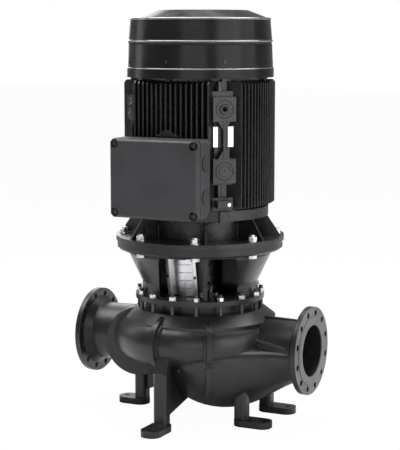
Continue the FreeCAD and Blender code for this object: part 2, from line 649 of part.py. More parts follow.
def rear_guard():
    """Curved dark sheet that closes the rear window from inside."""
    outer = STOOL_WAIST_R - WALL - 1
    z0 = STOOL_Z + STOOL_BASE_T + 0.5
    height = WINDOW_H + 4
    sheet = ring(outer, outer - GUARD_T, z0, z0 + height)
    sheet = sheet.common(block(-REAR_GUARD_W / 2, REAR_GUARD_W / 2, -outer, -60, z0, z0 + height))
    return spun(sheet, WINDOW_AZIMUTH + 180)


def guard_screw():
    z = STOOL_Z + STOOL_BASE_T + GUARD_H / 2
    shank = Part.makeCylinder(3, 12, V(0, -GUARD_Y, z), V(0, 1, 0))
    head = Part.makeCylinder(5.5, 4, V(0, -GUARD_Y - 4, z), V(0, 1, 0))
    return shank.fuse(head)


def air_vent():
    """Vent valve that stands on the stool's base ring, with a screw that opens it."""
    floor = STOOL_Z + STOOL_BASE_T
    x = VENT_R * math.sin(math.radians(VENT_AZIMUTH))
    y = -VENT_R * math.cos(math.radians(VENT_AZIMUTH))
    top = floor + VENT_H
    body = fused([hexagon(22, floor, floor + 12, x, y), cylinder(7, floor + 12, top, x, y),
                  Part.makeCylinder(4, 22, V(x, y, floor + 24), V(0.8, -0.6, 0))])
    body = body.cut(cylinder(3, floor + 10, top + 1, x, y))
    screw = cylinder(2.95, floor + 14, top + 0.3, x, y).fuse(hexagon(13, top + 0.3, top + 9, x, y))
    bar = block(x - 12, x + 12, y - 2.5, y + 2.5, top + 9, top + 14)
    return body, screw.fuse(bar)


def lantern():
    save("motor_stool", motor_stool())
    guard = coupling_guard()
    save("coupling_guard_front", guard)
    save("coupling_guard_rear", rear_guard())
    screw = leaned(guard_screw())
    save("guard_screws", [moved(screw, x, 0) for x in (-GUARD_FLANGE_X, GUARD_FLANGE_X)])
    valve, vent_screw = air_vent()
    save("air_vent_valve", valve)
    save("air_vent_screw", vent_screw)
    z0, z1 = COUPLING_Z, COUPLING_Z + COUPLING_H
    body = turned([(SHAFT_END_R, z0), (COUPLING_R - 5, z0), (COUPLING_R, z0 + 5), (COUPLING_R, z1 - 5),
                   (COUPLING_R - 5, z1), (SHAFT_END_R, z1)])
    groove = ring(COUPLING_R + 5, COUPLING_R - 4, SHAFT_MEET_Z - 4, SHAFT_MEET_Z + 4)
    body = body.cut(groove)
    screw_holes = []
    screws = []
    for z in (z0 + 32, z1 - 32):
        for y in (-62, 62):
            screw_holes.append(Part.makeCylinder(6, 200, V(-100, y, z), V(1, 0, 0)))
            screw_holes.append(Part.makeCylinder(10, 60, V(30, y, z), V(1, 0, 0)))
            shank = Part.makeCylinder(6, 72, V(-42, y, z), V(1, 0, 0))
            head = Part.makeCylinder(9, 11, V(30, y, z), V(1, 0, 0))
            screws.append(shank.fuse(head))
    holes = Part.makeCompound(screw_holes)
    for name, x0, x1 in (("coupling_half_left", -100, -SPLIT_GAP / 2), ("coupling_half_right", SPLIT_GAP / 2, 100)):
        save(name, body.common(block(x0, x1, -100, 100, z0, z1)).cut(holes))
    save("coupling_screws", screws)


# Motor

def flange_shield():
    top = FRAME_Z
    rim = top - SHIELD_RIM_T
    hub_r = DE_BEARING[1] + 20
    hub_top = DE_BEARING_Z + BEARING_W
    barrel_in = SHIELD_BARREL_R - 16
    profile = [(50, MOTOR_Z), (MOTOR_SPIGOT_R - 20, MOTOR_Z), (MOTOR_SPIGOT_R - 20, MOTOR_Z - 6),
               (MOTOR_SPIGOT_R - 0.3, MOTOR_Z - 6), (MOTOR_SPIGOT_R - 0.3, MOTOR_Z),
               (MOTOR_FLANGE_R, MOTOR_Z), (MOTOR_FLANGE_R, SHIELD_Z),
               (SHIELD_BARREL_R, SHIELD_Z), (SHIELD_BARREL_R, rim), (SHIELD_RIM_R, rim),
               (SHIELD_RIM_R, top), (FRAME_BARREL_R - FRAME_WALL - 0.3, top),
               (FRAME_BARREL_R - FRAME_WALL - 0.3, top + 8), (barrel_in + 22, top + 8), (barrel_in + 22, rim + 10),
               (barrel_in, rim), (barrel_in, SHIELD_Z + 8), (hub_r + 10, SHIELD_Z + 8), (hub_r, SHIELD_Z + 14),
               (hub_r, hub_top), (DE_BEARING[1], hub_top), (DE_BEARING[1], DE_BEARING_Z), (50, DE_BEARING_Z)]
    body = turned(profile)
    gusset = plate([(-SHIELD_BARREL_R + 4, SHIELD_Z - 2), (-MOTOR_FLANGE_R + 12, SHIELD_Z - 2),
                    (-MOTOR_FLANGE_R + 12, SHIELD_Z + 3), (-SHIELD_RIM_R + 2, rim + 2),
                    (-SHIELD_BARREL_R + 4, rim + 2)], 9, "X")
    lug = block(-SHIELD_LUG_W / 2, SHIELD_LUG_W / 2, -SHIELD_RIM_R - SHIELD_LUG_OUT, -SHIELD_RIM_R + 20,
                top - SHIELD_LUG_H, top)
    body = fused([body] + [spun(gusset, a) for a in SHIELD_GUSSETS] + around(lug, 4, 45))
    hole = cylinder(MOTOR_BOLT_R + 1, MOTOR_Z - 1, SHIELD_Z + 1, 0, -MOTOR_BOLT_PITCH_R)
    return body.cut(Part.makeCompound(around(hole, MOTOR_BOLTS, 22.5)))


def fin(offset):
    """One upright cooling fin of the front side, offset across the frame."""
    reach = FIN_R - offset * offset / (2 * FIN_BOW_R)
    root = math.sqrt(FRAME_BARREL_R ** 2 - offset ** 2) - 6
    z0 = FRAME_Z - 22
    z1 = FRAME_TOP
    outline = [(-root, FRAME_Z), (-reach, z0 + FIN_CHAMFER + 8), (-reach, z1 - 10), (-reach + 10, z1), (-root, z1)]
    return plate(outline, FIN_T, "X", offset)


def corner_strip():
    """Flat strip at a corner of the frame, with two square bosses and a rib between them."""
    half = STRIP_W / 2
    body = block(-half, half, -STRIP_R, -FRAME_BARREL_R + 26, FRAME_Z, FRAME_TOP)
    shapes = [body]
    for level in PAD_LEVELS:
        z0 = FRAME_Z + level
        shapes.append(block(-PAD_SIZE / 2, PAD_SIZE / 2, -PAD_R, -STRIP_R + 1, z0, z0 + PAD_SIZE))
    low = FRAME_Z + PAD_LEVELS[0] + PAD_SIZE
    high = FRAME_Z + PAD_LEVELS[1]
    shapes.append(block(-4, 4, -PAD_R + 4, -STRIP_R + 1, low - 1, high + 1))
    for z, sign in ((low - 1, 1), (high + 1, -1)):
        corners = [V(-26, 0, z), (V(26, 0, z)), V(0, 0, z + sign * 38)]
        face = Part.Face(Part.makePolygon(corners + corners[:1]))
        wedge = face.extrude(V(0, -(PAD_R - STRIP_R - 4), 0))
        shapes.append(moved(wedge, 0, -STRIP_R + 1))
    solid = fused(shapes)
    holes = [Part.makeCylinder(8, 30, V(0, -PAD_R - 1, high + PAD_SIZE / 2), V(0, 1, 0))]
    for z0, z1 in RECESS_LEVELS:
        holes.append(block(-half + 8, half - 8, -STRIP_R - 1, -STRIP_R + RECESS_DEPTH, FRAME_Z + z0, FRAME_Z + z1))
    for z0, z1 in ((low + 3, low + PLATE_RISE - 4), (low + PLATE_RISE + PLATE_H + 3, high - 3)):
        for x0, x1 in ((-half + 8, -6), (6, half - 8)):
            holes.append(block(x0, x1, -STRIP_R - 1, -STRIP_R + BAY_DEPTH, z0, z1))
    return solid.cut(Part.makeCompound(holes))


def shield_screws():
    """Screws of the end shields, in the recesses at the ends of each corner strip."""
    x, y = SHIELD_SCREW_SIDE, -STRIP_R + 5
    (low, low_end), (high, _) = RECESS_LEVELS
    lower = cylinder(9, FRAME_Z + low, FRAME_Z + low_end, x, y + 4)
    upper = hexagon(SHIELD_SCREW_AF, FRAME_Z + high, FRAME_Z + high + 18, x, y)
    upper = upper.fuse(cylinder(8, FRAME_Z + high + 17, FRAME_TOP, x, y))
    return around(lower, 4, 45) + around(upper, 4, 45)


def stator_frame():
    barrel = cylinder(FRAME_BARREL_R, FRAME_Z, FRAME_TOP)
    offsets = [FIN_PITCH * (k - FINS_EACH_SIDE + 0.5) for k in range(2 * FINS_EACH_SIDE)]
    side = [fin(s) for s in offsets]
    shapes = [barrel]
    for quarter in range(4):
        shapes += [spun(f, 90 * quarter) for f in side]
        shapes.append(spun(corner_strip(), 45 + 90 * quarter))
    z0 = MOTOR_Z + BOX_BOTTOM + 60
    shapes.append(block(-95, 95, -BOX_BACK, -FRAME_BARREL_R + 30, z0, z0 + 180))
    roof = MOTOR_Z + BOX_BOTTOM + BOX_H + 4
    shapes.append(moved(plate([(-48, roof), (48, roof), (0, roof + 24)], 60, "Y"), 0, -FIN_R + 14))
    body = fused(shapes)
    bore = cylinder(FRAME_BARREL_R - FRAME_WALL, FRAME_Z - 30, FRAME_TOP + 10)
    wire_way = Part.makeCylinder(40, 120, V(0, -BOX_BACK - 10, z0 + 90), V(0, 1, 0))
    return body.cut(bore).cut(wire_way)


def bearing(name, sizes, z0):
    inner, outer = sizes
    middle = (inner + outer) / 2
    ball = (outer - inner) / 2 * 0.48
    z1 = z0 + BEARING_W
    save(name + "_outer_ring", ring(outer, middle + ball + 0.4, z0, z1))
    save(name + "_inner_ring", ring(middle - ball - 0.4, inner, z0, z1))
    zc = (z0 + z1) / 2
    hoops = [ring(middle + 5, middle - 5, zc + z - 1.5, zc + z + 1.5) for z in (-ball - 2, ball + 2)]
    bar = block(-2, 2, -middle - 4, -middle + 4, zc - ball - 2, zc + ball + 2)
    save(name + "_cage", fused(hoops + around(bar, BALLS)))
    save(name + "_balls", around(Part.makeSphere(ball, V(0, -middle, zc)), BALLS, 180.0 / BALLS))


def motor_inside():
    bore_r = FRAME_BARREL_R - FRAME_WALL
    core0 = FRAME_Z + 105
    core1 = FRAME_TOP - 95
    air_r = 136.0
    save("stator_core", ring(bore_r, air_r, core0, core1))
    winding = [(air_r + 6, 0), (bore_r - 16, 0), (bore_r - 16, 40), (bore_r - 26, 52), (air_r + 16, 52), (air_r + 6, 40)]
    top = turned([(r, core1 + z) for r, z in winding])
    low = turned([(r, core0 - z) for r, z in winding])
    save("stator_windings", [top, low])
    save("rotor_core", turned([(50, core0 - 16), (air_r - 10, core0 - 16), (air_r - 10, core0), (air_r - 1.5, core0),
                               (air_r - 1.5, core1), (air_r - 10, core1), (air_r - 10, core1 + 16), (50, core1 + 16)]))
    de_r, nde_r = DE_BEARING[0], NDE_BEARING[0]
    de_top = DE_BEARING_Z + BEARING_W
    shaft_top = FAN_COVER_Z + 96
    save("motor_shaft", turned([(0, SHAFT_MEET_Z + SHAFT_GAP / 2), (SHAFT_END_R, SHAFT_MEET_Z + SHAFT_GAP / 2),
                                (SHAFT_END_R, COUPLING_Z + COUPLING_H + 4), (42, COUPLING_Z + COUPLING_H + 4),
                                (42, DE_BEARING_Z - 2), (de_r, DE_BEARING_Z - 2), (de_r, de_top), (50, de_top),
                                (50, NDE_BEARING_Z), (nde_r, NDE_BEARING_Z), (nde_r, NDE_BEARING_Z + BEARING_W),
                                (28, NDE_BEARING_Z + BEARING_W), (28, shaft_top), (0, shaft_top)]))
    bearing("drive_end_bearing", DE_BEARING, DE_BEARING_Z)
    bearing("top_bearing", NDE_BEARING, NDE_BEARING_Z)
    save("drive_end_bearing_cap", ring(DE_BEARING[1] + 18, 56, de_top, de_top + 8))
    save("shaft_seal_ring", ring(49.5, 43, MOTOR_Z + 4, MOTOR_Z + 18))


def top_shield():
    """Upper end shield, which carries the top bearing and the fan cover."""
    hub_r = NDE_BEARING[1] + 16
    hub_top = NDE_BEARING_Z + BEARING_W
    plate_top = FRAME_TOP + 14
    rim_r = COVER_R - 3.5
    disc = turned([(54, FRAME_TOP - 8), (FRAME_BARREL_R - FRAME_WALL - 0.3, FRAME_TOP - 8),
                   (FRAME_BARREL_R - FRAME_WALL - 0.3, FRAME_TOP), (rim_r - 24, FRAME_TOP), (rim_r - 20, plate_top),
                   (hub_r, plate_top), (hub_r, hub_top), (NDE_BEARING[1], hub_top),
                   (NDE_BEARING[1], NDE_BEARING_Z), (54, NDE_BEARING_Z)])
    lug = block(-9, 9, -cover_radius(COVER_SCREW_Z) + SHEET + 0.9, -rim_r + 40, FRAME_TOP, COVER_SCREW_Z + 8)
    body = fused([disc] + around(lug, COVER_SCREWS))
    hole = Part.makeCylinder(COVER_SCREW_R, 30, V(0, -rim_r - 4, COVER_SCREW_Z), V(0, 1, 0))
    return body.cut(Part.makeCompound(around(hole, COVER_SCREWS)))


def cover_radius(z):
    """Outer radius of the fan cover's middle tier at a height."""
    foot = FAN_COVER_Z + COVER_SKIRT_H + 3
    head = CANOPY_Z - 4
    return COVER_R - 3 - (COVER_R - 3 - CANOPY_FOOT_R) * (z - foot) / (head - foot)


def fan():
    z0 = FAN_COVER_Z + 52
    hub = turned([(28, z0), (48, z0), (52, z0 + 40), (28, z0 + 40)])
    disc = ring(FAN_R - 21, 40, z0 + 16, z0 + 20)
    vane = block(-2.5, 2.5, -FAN_R, -44, z0 - 12, z0 + 50)
    return fused([hub, disc] + around(vane, 7))


def fan_cover():
    z0 = FAN_COVER_Z
    z1 = z0 + COVER_SKIRT_H
    z2 = z1 + COVER_BODY_H
    r1 = COVER_R - 3
    r2 = CANOPY_FOOT_R
    neck = CANOPY_FOOT_R - 24
    lid = z2 + 42
    shell = turned([(COVER_R, z0), (COVER_R, z1), (r1, z1 + 3), (r2, z2 - 4), (neck, z2 + 2), (neck, lid), (0, lid),
                    (0, lid - SHEET), (neck - SHEET, lid - SHEET), (neck - SHEET, z2 - 2),
                    (r2 - SHEET, z2 - 8), (r1 - SHEET, z1), (COVER_R - SHEET, z1 - 3), (COVER_R - SHEET, z0)])
    slot = block(-7, 7, -235, -70, lid - SHEET - 2, lid + 2)
    hole = Part.makeCylinder(COVER_SCREW_R, 30, V(0, -COVER_R - 4, COVER_SCREW_Z), V(0, 1, 0))
    return shell.cut(Part.makeCompound(around(slot, 18))).cut(Part.makeCompound(around(hole, COVER_SCREWS)))


def canopy():
    z0 = CANOPY_Z + 4
    z1 = CANOPY_Z + CANOPY_SKIRT_H
    z2 = z1 + CANOPY_CONE_H
    t = SHEET
    return turned([(CANOPY_FOOT_R, z0), (CANOPY_FOOT_R, z0 + 6), (CANOPY_EDGE_R, z1), (CANOPY_TOP_R, z2), (0, z2),
                   (0, z2 - t), (CANOPY_TOP_R - 2, z2 - t), (CANOPY_EDGE_R - t, z1 - 2),
                   (CANOPY_FOOT_R - t, z0 + 6), (CANOPY_FOOT_R - t, z0)])


def motor_top():
    save("top_end_shield", top_shield())
    save("cooling_fan", fan())
    save("fan_cover", fan_cover())
    save("rain_canopy", canopy())
    lid = CANOPY_Z + 42
    under = CANOPY_Z + CANOPY_SKIRT_H + CANOPY_CONE_H - SHEET
    post = cylinder(7, lid, under, 0, -48)
    save("canopy_posts", around(post, 4, 45))
    reach = cover_radius(COVER_SCREW_Z)
    shank = Part.makeCylinder(COVER_SCREW_R, 20.3, V(0, -reach - 0.3, COVER_SCREW_Z), V(0, 1, 0))
    head = Part.makeCylinder(COVER_SCREW_HEAD_R, 4, V(0, -reach - 4.3, COVER_SCREW_Z), V(0, 1, 0))
    save("fan_cover_screws", around(shank.fuse(head), COVER_SCREWS))


def box_shell(inset, y_front, y_back):
    """Block of the terminal box with small corner chamfers, made smaller all round by inset."""
    z0 = MOTOR_Z + BOX_BOTTOM
    half = BOX_W / 2 - inset
    low, high = z0 + inset, z0 + BOX_H - inset
    c = 10.0
    corners = [(-half + c, low), (half - c, low), (half, low + c), (half, high - c),
               (half - c, high), (-half + c, high), (-half, high - c), (-half, low + c)]
    points = [V(x, -y_front, z) for x, z in corners]
    return Part.Face(Part.makePolygon(points + points[:1])).extrude(V(0, y_front - y_back, 0))


def terminal_box():
    rim_y = BOX_FRONT - LID_T
    outer = box_shell(0, rim_y, BOX_BACK)
    inner = box_shell(BOX_WALL, rim_y + 1, BOX_BACK + BOX_WALL)
    z0 = MOTOR_Z + BOX_BOTTOM
    slope = plate([(-BOX_BACK + 1, z0 - 1), (-BOX_BACK - BOX_SLOPE, z0 - 1), (-BOX_BACK + 1, z0 + BOX_SLOPE)],
                  2 * BOX_W, "X")
    inner = inner.cut(moved(slope, 0, -BOX_WALL, BOX_WALL))
    base = outer.cut(inner).cut(slope)
    mid = MOTOR_Z + BOX_BOTTOM + BOX_H / 2
    wire_way = Part.makeCylinder(40, 40, V(0, -BOX_BACK - 20, MOTOR_Z + BOX_BOTTOM + 150), V(0, 1, 0))
    y = -(rim_y + BOX_BACK) / 2 + 2
    side = BOX_W / 2
    openings = [Part.makeCylinder(KNOCKOUT_R, 60, V(side - 40, y, mid + dz), V(1, 0, 0))
                for dz in (-KNOCKOUT_PITCH / 2, KNOCKOUT_PITCH / 2)]
    base = base.cut(Part.makeCompound(openings + [wire_way]))
    screw_x, screw_z = side - 20, BOX_H / 2 - 20
    bosses = []
    for sx in (-1, 1):
        for sz in (-1, 1):
            bosses.append(Part.makeCylinder(9, rim_y - BOX_BACK - 1, V(sx * screw_x, -rim_y, mid + sz * screw_z),
                                            V(0, 1, 0)))
    bosses = [b.cut(slope) for b in bosses]
    base = fused([base] + bosses)
    pilot = [Part.makeCylinder(3.5, 24, V(sx * screw_x, -rim_y, mid + sz * screw_z), V(0, 1, 0))
             for sx in (-1, 1) for sz in (-1, 1)]
    save("terminal_box_base", base.cut(Part.makeCompound(pilot)))
    gasket_y = rim_y + 1.5
    gasket = box_shell(1.5, gasket_y, rim_y).cut(box_shell(BOX_WALL + 1, gasket_y + 1, rim_y - 1))
    gasket = gasket.cut(Part.makeCompound([moved(p, 0, -4) for p in pilot]))
    save("terminal_box_gasket", gasket)
    save("terminal_box_lid", box_lid(gasket_y, mid, screw_x, screw_z))
    screws = []
    for sx in (-1, 1):
        for sz in (-1, 1):
            at = V(sx * screw_x, -(gasket_y + 10), mid + sz * screw_z)
            shank = Part.makeCylinder(3.5, 30, at, V(0, 1, 0))
            head = Part.makeCylinder(7, 7, V(at.x, at.y - 7, at.z), V(0, 1, 0))
            screws.append(shank.fuse(head))
    save("lid_screws", screws)
    plugs = []
    for dz in (-KNOCKOUT_PITCH / 2, KNOCKOUT_PITCH / 2):
        wall_x = side - BOX_WALL
        body = Part.makeCylinder(KNOCKOUT_R - 0.3, 14, V(wall_x - 3, y, mid + dz), V(1, 0, 0))
        head = Part.makeCylinder(KNOCKOUT_R + 5, 4, V(wall_x + BOX_WALL, y, mid + dz), V(1, 0, 0))
        plugs.append(body.fuse(head))
    save("cable_entry_plugs", plugs)
    board_y = BOX_BACK + BOX_WALL
    board_z = z0 + BOX_SLOPE + 50
    board = block(-75, 75, -board_y - 26, -board_y, board_z - 30, board_z + 30)
    studs = [Part.makeCylinder(4, 40, V(x, -board_y - 52, board_z + dz), V(0, 1, 0))
             for x in (-50, 0, 50) for dz in (-16, 16)]
    save("terminal_board", board.cut(Part.makeCompound(studs)))
    save("terminal_studs", studs)


def box_lid(y0, mid, screw_x, screw_z):
    """Flat lid with a chamfered edge and a notch at each corner for its screw; the face is bare."""
    y1 = BOX_FRONT
    c = LID_CHAMFER
    half = BOX_W / 2 - LID_INSET
    up = BOX_H / 2 - LID_INSET
    wires = []
    for y, less in ((y0, 0), (y1 - c, 0)):
        wires.append(lid_outline(half - less, up - less, y, mid))
    body = Part.makeLoft(wires, True, True)
    crown = Part.makeLoft([lid_outline(half, up, y1 - c, mid), lid_outline(half - c, up - c, y1, mid)], True, True)
    lid = body.fuse(crown)
    cuts = []
    for sx in (-1, 1):
        for sz in (-1, 1):
            corner = V(sx * screw_x, 0, mid + sz * screw_z)
            notch = Part.makeCylinder(17, 60, V(corner.x, -y0 - 70, corner.z), V(0, 1, 0))
            cuts.append(notch)
            cuts.append(Part.makeCylinder(3.5, 30, V(corner.x, -y0 - 12, corner.z), V(0, 1, 0)))
    hollow = block(-half + 26, half - 26, -y1 + 6, -y0 + 1, mid - up + 26, mid + up - 26)
    return lid.cut(Part.makeCompound(cuts)).cut(hollow)


def lid_outline(half, up, y, mid):
    c = 12.0
    corners = [(-half + c, -up), (half - c, -up), (half, -up + c), (half, up - c),
               (half - c, up), (-half + c, up), (-half, up - c), (-half, -up + c)]
    points = [V(x, -y, mid + z) for x, z in corners]
    return Part.makePolygon(points + points[:1])


def motor_fasteners():
    low = MOTOR_Z - STOOL_FLANGE_T
    nut_z = SHIELD_Z + 3
    y = -MOTOR_BOLT_PITCH_R
    bolt = cylinder(MOTOR_BOLT_R, low - 1, nut_z + MOTOR_NUT_H + 6, 0, y)
    bolt = bolt.fuse(hexagon(MOTOR_NUT_AF, low - 13, low, 0, y))
    save("motor_bolts", around(bolt, MOTOR_BOLTS, 22.5))
    hole = cylinder(MOTOR_BOLT_R, nut_z - 5, nut_z + 60, 0, y)
    nut = hexagon(MOTOR_NUT_AF, nut_z, nut_z + MOTOR_NUT_H, 0, y).cut(hole)
    save("motor_nuts", around(nut, MOTOR_BOLTS, 22.5))
    washer = cylinder(18, SHIELD_Z, nut_z, 0, y).cut(hole)
    save("motor_washers", around(washer, MOTOR_BOLTS, 22.5))


def frame_fittings():
    """Bare plates and the earth terminal on the front right corner of the frame."""
    azimuth = 45
    low = FRAME_Z + PAD_LEVELS[0] + PAD_SIZE + PLATE_RISE
    plates = []
    for x0, x1 in PLATE_SPANS:
        plates.append(spun(block(x0, x1, -STRIP_R - 6, -STRIP_R, low, low + PLATE_H), azimuth))
    save("bare_nameplates", plates)
    z0 = FRAME_Z + 14
    bracket = block(-30, 30, -STRIP_R - 30, -STRIP_R, z0, z0 + 28)
    hole = Part.makeCylinder(5, 40, V(14, -STRIP_R - 31, z0 + 14), V(0, 1, 0))
    save("earth_terminal", spun(bracket.cut(hole), azimuth))
    head = Part.makeCylinder(7, 6, V(14, -STRIP_R - 36, z0 + 14), V(0, 1, 0))
    shank = Part.makeCylinder(5, 26, V(14, -STRIP_R - 30, z0 + 14), V(0, 1, 0))
    save("earth_screw", spun(head.fuse(shank), azimuth))


def motor():
    save("flange_end_shield", flange_shield())
    save("stator_frame", stator_frame())
    save("shield_screws", shield_screws())
    motor_inside()
    motor_top()
    terminal_box()
    motor_fasteners()
    frame_fittings()


def main():
    os.makedirs("parts", exist_ok=True)
    pump_end()
    rotor_wet_end()
    lantern()
    motor()


main()
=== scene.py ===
import json
import math

import bmesh
import bpy
from mathutils import Matrix, Vector


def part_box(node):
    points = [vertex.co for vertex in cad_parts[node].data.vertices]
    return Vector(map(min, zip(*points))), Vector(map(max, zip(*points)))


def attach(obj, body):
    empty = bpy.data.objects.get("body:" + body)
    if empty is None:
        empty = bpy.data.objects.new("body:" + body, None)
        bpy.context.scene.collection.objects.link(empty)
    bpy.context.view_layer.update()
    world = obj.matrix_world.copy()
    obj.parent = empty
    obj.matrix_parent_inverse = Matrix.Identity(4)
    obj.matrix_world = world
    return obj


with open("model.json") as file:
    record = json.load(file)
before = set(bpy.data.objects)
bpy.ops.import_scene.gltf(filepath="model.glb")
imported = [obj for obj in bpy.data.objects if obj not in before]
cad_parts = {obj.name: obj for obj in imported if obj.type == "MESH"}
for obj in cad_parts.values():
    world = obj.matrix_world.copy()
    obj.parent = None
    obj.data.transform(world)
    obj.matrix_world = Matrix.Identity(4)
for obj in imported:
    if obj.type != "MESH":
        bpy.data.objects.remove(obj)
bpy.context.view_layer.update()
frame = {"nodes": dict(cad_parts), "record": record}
NODES = frame["nodes"]

# Stage. Lengths are in metres, angles in degrees.

CAMERA_PLACE = (2.45406, -5.00863, 1.50595)
CAMERA_DOWN = 7.73           # below the horizontal
CAMERA_TURN = 26.10
CAMERA_LENS = 114.25         # millimetres, on a sensor of this width
CAMERA_SENSOR = 36.0
CAMERA_SHIFT = -0.0004
CAMERA_REACH = 60.0

# Name, place, point that it faces, width and height, watts
LAMPS = (
    ("top", (-0.4, 0.4, 4.6), (0, 0, 0.4), (7.0, 3.6), 520),
    ("right", (4.0, 0.9, 1.6), (0, 0, 0.9), (2.6, 2.8), 36),
    ("right_front", (3.95, -1.44, 1.6), (0, 0, 0.9), (2.7, 2.8), 62),
    ("left", (-4.0, -0.5, 2.2), (0, 0, 0.7), (1.2, 2.6), 20),
    ("front", (1.54, -5.38, 1.4), (0, 0, 0.7), (4.0, 2.2), 48),
    ("rim", (-2.4, 2.8, 2.2), (0, 0, 0.8), (1.4, 2.4), 30),
)
WHITE = (1, 1, 1, 1)
WORLD_LIGHT = 0.14           # strength of the white surroundings as light
GLOSS_SHARE = 0.14           # share of the white background in reflections
FLOOR_SIZE = 60
FLOOR_PAPER = (0.72, 0.72, 0.72, 1)
FLOOR_GLOW = 0.975           # share of plain white in the floor that the camera sees

# Casing: the pipe flanges are bare steel where they stand out beyond the paint

FACE_X = 0.480               # pipe flange faces at plus and minus this
BARE_FROM = 0.0042           # depth behind the face at which the paint starts to end
BARE_TO = 0.0036
BARE_GLOSS = 0.5

# Square bosses on the motor's corner strips, and the turned seats on them

BOSS_AZIMUTHS = (-45, 45, 135, 225)
BOSS_R = 0.283
BOSS_LEVELS = (0.153, 0.384)          # middles above the frame's foot
SHIELD_IN_FRAME = 0.008               # the end shield's top above the frame's foot
# Radius, half width and rise of a ring
UPPER_RING = (0.0335, 0.0022, 0.0018)
LOWER_RINGS = ((0.0335, 0.0024, 0.0022), (0.0215, 0.0014, 0.0012))
# Radius and height of the points of a turned profile
UPPER_HUB = ((0.0095, -0.004), (0.0095, 0.0022), (0.0115, 0.0036), (0.0185, 0.0036), (0.0215, 0.001),
             (0.0215, -0.004))
LOWER_STUD = ((0.0, -0.001), (0.0, 0.0028), (0.0028, 0.0022), (0.0042, -0.001))

# Rolled edges of the sheets: the sheet's node, depth inside its radius, level above its foot, half width

EDGE_BEADS = (("rain_canopy", 0.0010, 0.004, 0.0042),
              ("rain_canopy", 0.0090, 0.088, 0.0042),
              ("fan_cover", 0.0038, 0.0345, 0.0036))
STRIP_IN = (0.010, 0.002)             # rubber strip inside the canopy's radius, and its levels from the foot
STRIP_LEVELS = (-0.0095, 0.003)

# Arched ridges on the end shield's barrel

SHIELD_R = 0.200
ARCH_SPANS = ((-96, -63), (-57, -19), (-117, -100), (-11, 11), (19, 57), (63, 117), (123, 161), (169, 191),
              (199, 237))
ARCH_FOOT = 0.025                     # above the end shield's underside
ARCH_H = 0.068
ARCH_CORNER = 0.018
ARCH_CORNER_STEPS = 6
ARCH_WIDTH = 0.007
ARCH_RISE = 0.004
ARCH_ROOT = 0.002                     # depth inside the barrel
ARCH_DRAFT = 0.0015                   # each side leans in by this

RING_STEPS = 48
STUD_STEPS = 16
SHEET_STEPS = 160
RING_SIDES = 8
BEAD_SIDES = 12


# Camera and stage

def make_camera():
    data = bpy.data.cameras.new("camera")
    data.sensor_width = CAMERA_SENSOR
    data.lens = CAMERA_LENS
    data.shift_x = CAMERA_SHIFT
    data.clip_end = CAMERA_REACH
    cam = bpy.data.objects.new("camera", data)
    cam.location = CAMERA_PLACE
    cam.rotation_euler = (math.radians(90 - CAMERA_DOWN), 0.0, math.radians(CAMERA_TURN))
    bpy.context.scene.collection.objects.link(cam)
    bpy.context.scene.camera = cam


def make_lamp(name, place, aim, size, watts):
    data = bpy.data.lights.new(name, "AREA")
    data.shape = "RECTANGLE"
    data.size, data.size_y = size
    data.energy = watts
    lamp = bpy.data.objects.new(name, data)
    lamp.location = place
    lamp.rotation_euler = (Vector(aim) - Vector(place)).to_track_quat("-Z", "Y").to_euler()
    bpy.context.scene.collection.objects.link(lamp)


def background_rays(tree):
    """Socket that is 1 for the rays that show the background itself, and a share of it in reflections."""
    path = tree.nodes.new("ShaderNodeLightPath")
    both = tree.nodes.new("ShaderNodeMath")
    both.operation = "MAXIMUM"
    tree.links.new(path.outputs["Is Glossy Ray"], both.inputs[0])
    tree.links.new(path.outputs["Is Transmission Ray"], both.inputs[1])
    part = tree.nodes.new("ShaderNodeMath")
    part.operation = "MULTIPLY_ADD"
    part.use_clamp = True
    part.inputs[1].default_value = GLOSS_SHARE
    tree.links.new(both.outputs[0], part.inputs[0])
    tree.links.new(path.outputs["Is Camera Ray"], part.inputs[2])
    return part.outputs[0]


def make_world():
    world = bpy.data.worlds.new("studio")
    bpy.context.scene.world = world
    world.use_nodes = True
    tree = world.node_tree
    tree.nodes.clear()
    out = tree.nodes.new("ShaderNodeOutputWorld")
    seen = tree.nodes.new("ShaderNodeBackground")
    seen.inputs["Color"].default_value = WHITE
    seen.inputs["Strength"].default_value = 1.0
    light = tree.nodes.new("ShaderNodeBackground")
    light.inputs["Color"].default_value = WHITE
    light.inputs["Strength"].default_value = WORLD_LIGHT
    mix = tree.nodes.new("ShaderNodeMixShader")
    tree.links.new(background_rays(tree), mix.inputs["Fac"])
    tree.links.new(light.outputs[0], mix.inputs[1])
    tree.links.new(seen.outputs[0], mix.inputs[2])
    tree.links.new(mix.outputs[0], out.inputs["Surface"])


def make_floor():
    bpy.ops.mesh.primitive_plane_add(size=FLOOR_SIZE, location=(0, 0, 0))
    floor = bpy.context.object
    floor.name = "floor"
    mat = bpy.data.materials.new("floor_paper")
    mat.use_nodes = True
    tree = mat.node_tree
    tree.nodes.clear()
    out = tree.nodes.new("ShaderNodeOutputMaterial")
    paper = tree.nodes.new("ShaderNodeBsdfDiffuse")
    paper.inputs["Color"].default_value = FLOOR_PAPER
    glow = tree.nodes.new("ShaderNodeEmission")
    glow.inputs["Strength"].default_value = 1.0
    part = tree.nodes.new("ShaderNodeMath")
    part.operation = "MULTIPLY"
    part.inputs[1].default_value = FLOOR_GLOW
    path = tree.nodes.new("ShaderNodeLightPath")
    tree.links.new(path.outputs["Is Camera Ray"], part.inputs[0])
    mix = tree.nodes.new("ShaderNodeMixShader")
    tree.links.new(part.outputs[0], mix.inputs["Fac"])
    tree.links.new(paper.outputs[0], mix.inputs[1])
    tree.links.new(glow.outputs[0], mix.inputs[2])
    tree.links.new(mix.outputs[0], out.inputs["Surface"])
    floor.data.materials.append(mat)


# Materials

